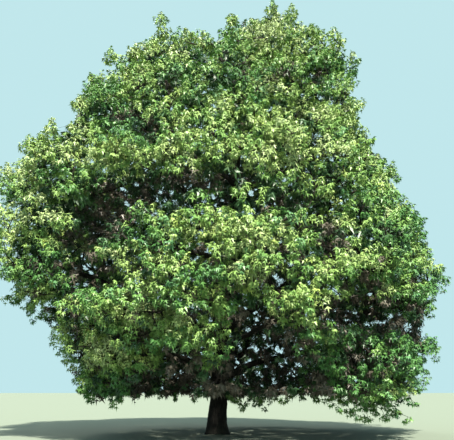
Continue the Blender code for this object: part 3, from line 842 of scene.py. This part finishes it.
# others all round, where a skirt's underside turns up
for name in mass_names:
    if "skirt" in name:
        m = MASS[name]
        for i in rng.permutation(np.where((m["n"][:, 2] < -0.45) & (m["area"] > 0))[0])[:9]:
            p = m["v"][m["t"][i]].mean(0)
            facing = m["n"][i] @ unit((p - trunk_line(p[2])) * (1, 1, 0))
            if facing > -0.1 and p[2] < 2.4:
                hanging.append(p - UP * rng.uniform(0.10, 0.34))
for p in hanging:
    name = nearest_mass(p)
    out = unit((p - trunk_line(p[2])) * (1, 1, 0))
    # they arch outwards before they hang
    root = wood_tree.find(Vector(p + UP * 0.5 - out * 0.55))[1]
    ids = branch_to(p + UP * 0.10, [root], bend=0.2, step=0.16)
    for back in (0.0, 0.10, 0.22, 0.36, 0.52):
        along = pos[ids[max(0, len(ids) - 1 - int(back / 0.16))]]
        t = along + rng.normal(0, (0.07, 0.09, 0.03)) - UP * 0.05
        k = ids[int(np.argmin([np.linalg.norm(pos[i] - t) for i in ids]))]
        twig_chains.append([k] + grow([t], k))
        # painted shade: a darker tint for the sprays that hang in the shade under the skirts
        add_spray(t, t - pos[k] + 0.4 * out - 0.2 * UP, UP + rng.normal(0, 0.3, 3), name, rng.normal(-0.16, 0.16), 4)

rng = np.random.default_rng(44)
spray_p = np.array(spray_p)
spray_dir = np.array(spray_dir)
spray_out = np.array(spray_out)
spray_mass = np.array(spray_mass)
spray_tint = np.array(spray_tint)
spray_kind = np.array(spray_kind)
spray_turn = rng.uniform(0, 2 * math.pi, len(spray_p))

# sprays that stand in a hollow of the crown's front are left off, most in its middle,
# and so are those past the outline
keep = rng.random(len(spray_p)) > in_hollows(spray_p)
keep &= ~(past_outline(spray_p, 1.5) & (spray_kind < 3))
keep &= ((spray_p > np.array(CAD_LOW) - 0.02) & (spray_p < np.array(CAD_HIGH) + 0.02)).all(1)

# ---------------------------------------------------------------- wood radii
TIP_RADIUS, PIPE = 0.0046, 2.14
load = np.zeros(len(pos))
for chain in twig_chains:
    load[chain[-1]] += 1.0
par = np.array(parent)
for i in range(len(pos) - 1, -1, -1):
    if par[i] >= 0:
        load[par[i]] += load[i]
radius = TIP_RADIUS * np.maximum(load, 1.0) ** (1 / PIPE)


def tubes(chain_list, sides, cap):
    """Plain tapering tubes along chains of skeleton points."""
    vs, fs, off = [], [], 0
    th = np.linspace(0, 2 * math.pi, sides, endpoint=False)
    for chain in chain_list:
        pts = np.array([pos[i] for i in chain])
        r = radius[chain].copy()
        r[0] = min(r[0], r[1] * 1.25)
        r = np.minimum(r, cap)
        a, b, _ = frames_along(pts)
        ring = a[:, None, :] * np.cos(th)[None, :, None] + b[:, None, :] * np.sin(th)[None, :, None]
        v = (pts[:, None, :] + ring * r[:, None, None]).reshape(-1, 3)
        n = len(pts)
        i, j = np.meshgrid(np.arange(n - 1), np.arange(sides), indexing="ij")
        k = (j + 1) % sides
        q = np.stack([i * sides + j, i * sides + k, (i + 1) * sides + k, (i + 1) * sides + j], -1).reshape(-1, 4)
        vs.append(v)
        fs.append(np.concatenate([q[:, [0, 1, 2]], q[:, [0, 2, 3]]]) + off)
        off += len(v)
    return np.concatenate(vs), np.concatenate(fs)


def limb_tubes():
    vs, fs, off = [], [], 0
    for k, chain in enumerate(secondary):
        pts = np.array([pos[i] for i in chain])
        r = np.minimum(radius[chain], 0.085) * 1.15
        r[0] = r[1] * 1.2
        v, f = bark_tube(pts, r, 10, 0.003, 31.0 + k)
        vs.append(v)
        fs.append(f + off)
        off += len(v)
    return np.concatenate(vs), np.concatenate(fs)


v, f = limb_tubes()
limb_piece = mesh_object("limb_bark", v, f, [BARK_DARKENED_AS_SHADE], smooth=True)
v, f = tubes(chains, 5, 0.055)
branch_piece = mesh_object("branches", v, f, [TWIG_DARKENED_AS_SHADE], smooth=True)
# twigs whose leaves are left off go too where they stand past the outline, and a fifth of the others
bare = past_outline(spray_p, 0.0)
shown = [c for i, c in enumerate(twig_chains) if keep[i] or (not bare[i] and rng.random() < 0.8)]
v, f = tubes(shown, 3, 0.02)
twig_piece = mesh_object("twigs", v, f, [TWIG_DARKENED_AS_SHADE], smooth=True)

# -------------------------------------------------------------------- leaves
# blade outlines, stalk end at 0,0 and tip at 0,1: five pointed lobes that droop, and plainer ones
FIVE_LOBES = np.array(((0.0, 0.0, 0.0), (-0.46, -0.04, -0.14), (-0.27, 0.20, -0.03), (-0.62, 0.50, -0.26),
                       (-0.20, 0.54, -0.03), (0.0, 1.04, -0.34), (0.20, 0.54, -0.03), (0.62, 0.50, -0.26),
                       (0.27, 0.20, -0.03), (0.46, -0.04, -0.14)))
FIVE_FACES = np.array(((0, 2, 1), (2, 4, 3), (4, 6, 5), (6, 8, 7), (8, 0, 9), (0, 4, 2), (0, 6, 4), (0, 8, 6)))
THREE_LOBES = np.array(((-0.175, 0.20, -0.02), (0.175, 0.20, -0.02), (0.0, 1.12, -0.38),
                        (0.07, 0.0, 0.0), (-0.10, 0.42, -0.05), (-0.68, 0.42, -0.30),
                        (-0.07, 0.0, 0.0), (0.68, 0.42, -0.30), (0.10, 0.42, -0.05)))
THREE_FACES = np.array(((0, 1, 2), (3, 4, 5), (6, 7, 8)))
LEAVES_IN_SPRAY = 14
FINE_LEAVES = 2                   # of them, with five lobes and a stalk
LEAF_LENGTH = 0.133
INNER_LENGTH = 0.280
SEEN_LENGTH = 0.182                # of the shaded leaves that the photograph sees from below


def leaves_on(which, js, length, blade, faces, stalks):
    """Leaves number js of the chosen sprays, in pairs round each shoot, the lower ones drooping more."""
    idx = np.repeat(which, len(js))
    j = np.tile(js, len(which))
    n = len(idx)
    f = np.minimum(j / (LEAVES_IN_SPRAY - 1.0), 1.0)
    turn = spray_turn[idx] + (j // 2) * 1.571 + (j % 2) * math.pi + rng.normal(0, 0.25, n)
    axis = spray_dir[idx]
    side = unit(np.cross(axis, UP + np.array((0.013, 0.007, 0.0))))
    top = np.cross(side, axis)
    radial = side * np.cos(turn)[:, None] + top * np.sin(turn)[:, None]
    node = spray_p[idx] - axis * (0.01 + 0.17 * f)[:, None]
    tilt = np.radians(30 + 60 * f + rng.normal(0, 11, n))[:, None]
    reach = radial * np.sin(tilt) + axis * np.cos(tilt)
    stalk = ((0.035 + 0.075 * f) * rng.uniform(0.75, 1.25, n))[:, None]
    base = node + reach * stalk - UP * 0.25 * stalk
    size = length * (0.82 + 0.30 * f) * rng.uniform(0.84, 1.16, n)
    droop = (0.40 + 1.00 * f + rng.normal(0, 0.25, n))[:, None]
    y = unit(reach * (1, 1, 0.5) - UP * droop + rng.normal(0, 0.16, (n, 3)))
    up = UP * 0.80 + spray_out[idx] * 0.50 + radial * 0.15 + rng.normal(0, 0.26, (n, 3))
    z = unit(up - y * np.einsum("ij,ij->i", up, y)[:, None])
    x = np.cross(y, z)
    v = (base[:, None] + size[:, None, None] * (blade[None, :, 0:1] * x[:, None] + blade[None, :, 1:2] * y[:, None]
                                                + blade[None, :, 2:3] * z[:, None]))
    k = len(blade)
    if stalks:
        w = x * 0.0035
        v = np.concatenate([v, (node - w)[:, None], (node + w)[:, None]], axis=1)
        faces = np.concatenate([faces, [(k, k + 1, 0)]])
    return v, faces, idx, base + y * size[:, None] * 0.5


def open_to_sky(mid):
    """False for leaves that would close a place where the photograph shows sky."""
    u, v, w = to_frame(mid)
    ok = np.ones(len(mid), bool)
    for ou, ov, r in OPENINGS:
        ok &= (u - ou) ** 2 + (v - ov) ** 2 > (r + 1.0) ** 2
    return ok


def leaf_arrays(which, js, length, blade, faces, stalks):
    v, fc, idx, mid = leaves_on(which, js, length, blade, faces, stalks)
    ok = open_to_sky(mid) & (v[:, :, 2].min(1) > 0.05)
    v, idx = v[ok], idx[ok]
    n, k = v.shape[0], v.shape[1]
    f = (fc[None] + (np.arange(n) * k)[:, None, None]).reshape(-1, 3)
    return v.reshape(-1, 3), f, np.repeat(slot[idx], len(fc))


def build_leaves(name, parts):
    """One joined piece from several sets of leaves."""
    vs, fs, ms, off = [], [], [], 0
    for part in parts:
        v, f, m = leaf_arrays(*part)
        vs.append(v)
        fs.append(f + off)
        ms.append(m)
        off += len(v)
    f = np.concatenate(fs)
    return mesh_object(name, np.concatenate(vs), f, LEAF_MATS, np.concatenate(ms)), len(f)


# colour of each spray: clump and spray tints, with painted light on the tops of clumps, a little lighter high up, and
# painted light and shade on the front's lighter and darker reaches
tint = spray_tint + 0.004 * (spray_p[:, 2] - 6.0) + painted_light_tint(spray_p)
order = np.clip(0.46 + 0.9 * tint, 0, 0.999)
slot = np.clip((order * GREENS).astype(int), 0, GREENS - 1)
chance = rng.random(len(slot))
slot = np.where((chance < 0.09) & (slot < 4), COOL + (slot > 1), slot)
slot = np.where((chance > 0.955) & (slot > 3), OLIVE + (chance > 0.975), slot)
# painted shade: the inner sprays, and by chance those in the front's hollows, take the three dark colours that stand
# for the shade inside the crown
shaded = (spray_kind == 2) | (rng.random(len(slot)) < 1.3 * in_hollows(spray_p))
# those that the photograph sees in the hollows and from below
in_frame = np.stack(to_frame(spray_p)[:2], -1)
seen = (spray_p[:, 1] < 2.2) & ((spray_p[:, 2] < 5.6) | np.array([hollow_at(u, v) for u, v in in_frame]))
seen |= spray_p[:, 2] < 2.3
slot = np.where(shaded, SHADED + (rng.random(len(slot)) < 0.5), slot)
# painted shade: about half of those seen from below and in the hollows take the brownish dark colour
slot = np.where(shaded & seen & (rng.random(len(slot)) < 0.52), SHADED + 2, slot)

outer_ids = np.where((spray_kind != 2) & keep)[0]
thin = (spray_kind == 1) | (spray_kind == 4)
inner_ids = np.where((spray_kind == 2) & keep)[0]
fine_js, plain_js = np.arange(FINE_LEAVES), np.arange(FINE_LEAVES, LEAVES_IN_SPRAY)
sparse_js = np.arange(FINE_LEAVES, LEAVES_IN_SPRAY - 3)
per_spray = FINE_LEAVES * (len(FIVE_FACES) + 1) + (LEAVES_IN_SPRAY - FINE_LEAVES) * len(THREE_FACES)

centres = np.array([MASS[n]["c"] for n in mass_names])
bearing = np.arctan2(centres[:, 0], -centres[:, 1])
counts = np.bincount(spray_mass[outer_ids], minlength=len(mass_names)) * per_spray
groups, current, total = [], [], 0
for i in np.argsort(bearing):
    if total + counts[i] > 197000:
        groups.append(current)
        current, total = [], 0
    current.append(i)
    total += counts[i]
groups.append(current)

leaf_pieces = []
leaf_total = 0
for g, members in enumerate(groups):
    which = outer_ids[np.isin(spray_mass[outer_ids], members)]
    obj, n = build_leaves("leaves_outer_%d" % (g + 1), [
        (which, fine_js, LEAF_LENGTH, FIVE_LOBES, FIVE_FACES, True),
        (which[~thin[which]], plain_js, LEAF_LENGTH, THREE_LOBES, THREE_FACES, False),
        (which[thin[which]], sparse_js, LEAF_LENGTH * 0.9, THREE_LOBES, THREE_FACES, False)])
    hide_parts(*[mass_names[i] for i in members])
    leaf_pieces.append(obj)
    leaf_total += n
half = [inner_ids[spray_p[inner_ids, 0] < 0], inner_ids[spray_p[inner_ids, 0] >= 0]]
for g, which in enumerate(half):
    obj, n = build_leaves("leaves_inner_%d" % (g + 1), [
        (which[~seen[which]], np.arange(1, 9), INNER_LENGTH, THREE_LOBES, THREE_FACES, False),
        (which[seen[which]], np.arange(14), SEEN_LENGTH, THREE_LOBES, THREE_FACES, False)])
    leaf_pieces.append(obj)
    leaf_total += n

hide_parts("trunk")
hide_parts(*[b[0] for b in BOUGHS])
wood_pieces = [trunk_piece, bough_piece, limb_piece, branch_piece, twig_piece]
for obj in wood_pieces:
    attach(obj, "root")
for obj in leaf_pieces:
    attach(obj, "root")

# ---------------------------------------------------------- stage and lights
bpy.ops.mesh.primitive_plane_add(size=600.0, location=(0, 0, 0))
floor = bpy.context.object
floor.name = "floor"
floor.data.materials.append(principled("floor_pale", (0.150, 0.175, 0.140), 0.95, 0.1))

world = bpy.data.worlds.new("studio")
bpy.context.scene.world = world
world.use_nodes = True
world.node_tree.nodes["Background"].inputs["Color"].default_value = (0.58, 0.87, 0.91, 1)
world.node_tree.nodes["Background"].inputs["Strength"].default_value = 0.92


def sun(name, energy, angle, colour, coming_from):
    light = bpy.data.lights.new(name, "SUN")
    light.energy = energy
    light.angle = math.radians(angle)
    light.color = colour
    obj = link(bpy.data.objects.new(name, light))
    obj.rotation_euler = Vector(unit(np.array(coming_from))).to_track_quat("Z", "Y").to_euler()


sun("key", 13.4, 2.0, (1.0, 0.96, 0.83), (0.14, -0.66, 1.0))
sun("fill", 0.3, 60, (0.95, 0.98, 1.0), (-0.55, -0.80, 0.35))
sun("back", 1.6, 20, (1.0, 0.98, 0.94), (-0.35, 0.85, 0.80))

view = bpy.context.scene.view_settings
view.view_transform = "Standard"
view.look = "None"

print("sprays", len(outer_ids), len(inner_ids), "fills", len(fills), "leaf faces", leaf_total, "groups", len(groups),
      "wood", [len(o.data.polygons) for o in wood_pieces], "all", sum(len(o.data.polygons) for o in leaf_pieces + wood_pieces),
      "clumps", len(clumps), "leaf pieces", [len(o.data.polygons) for o in leaf_pieces])
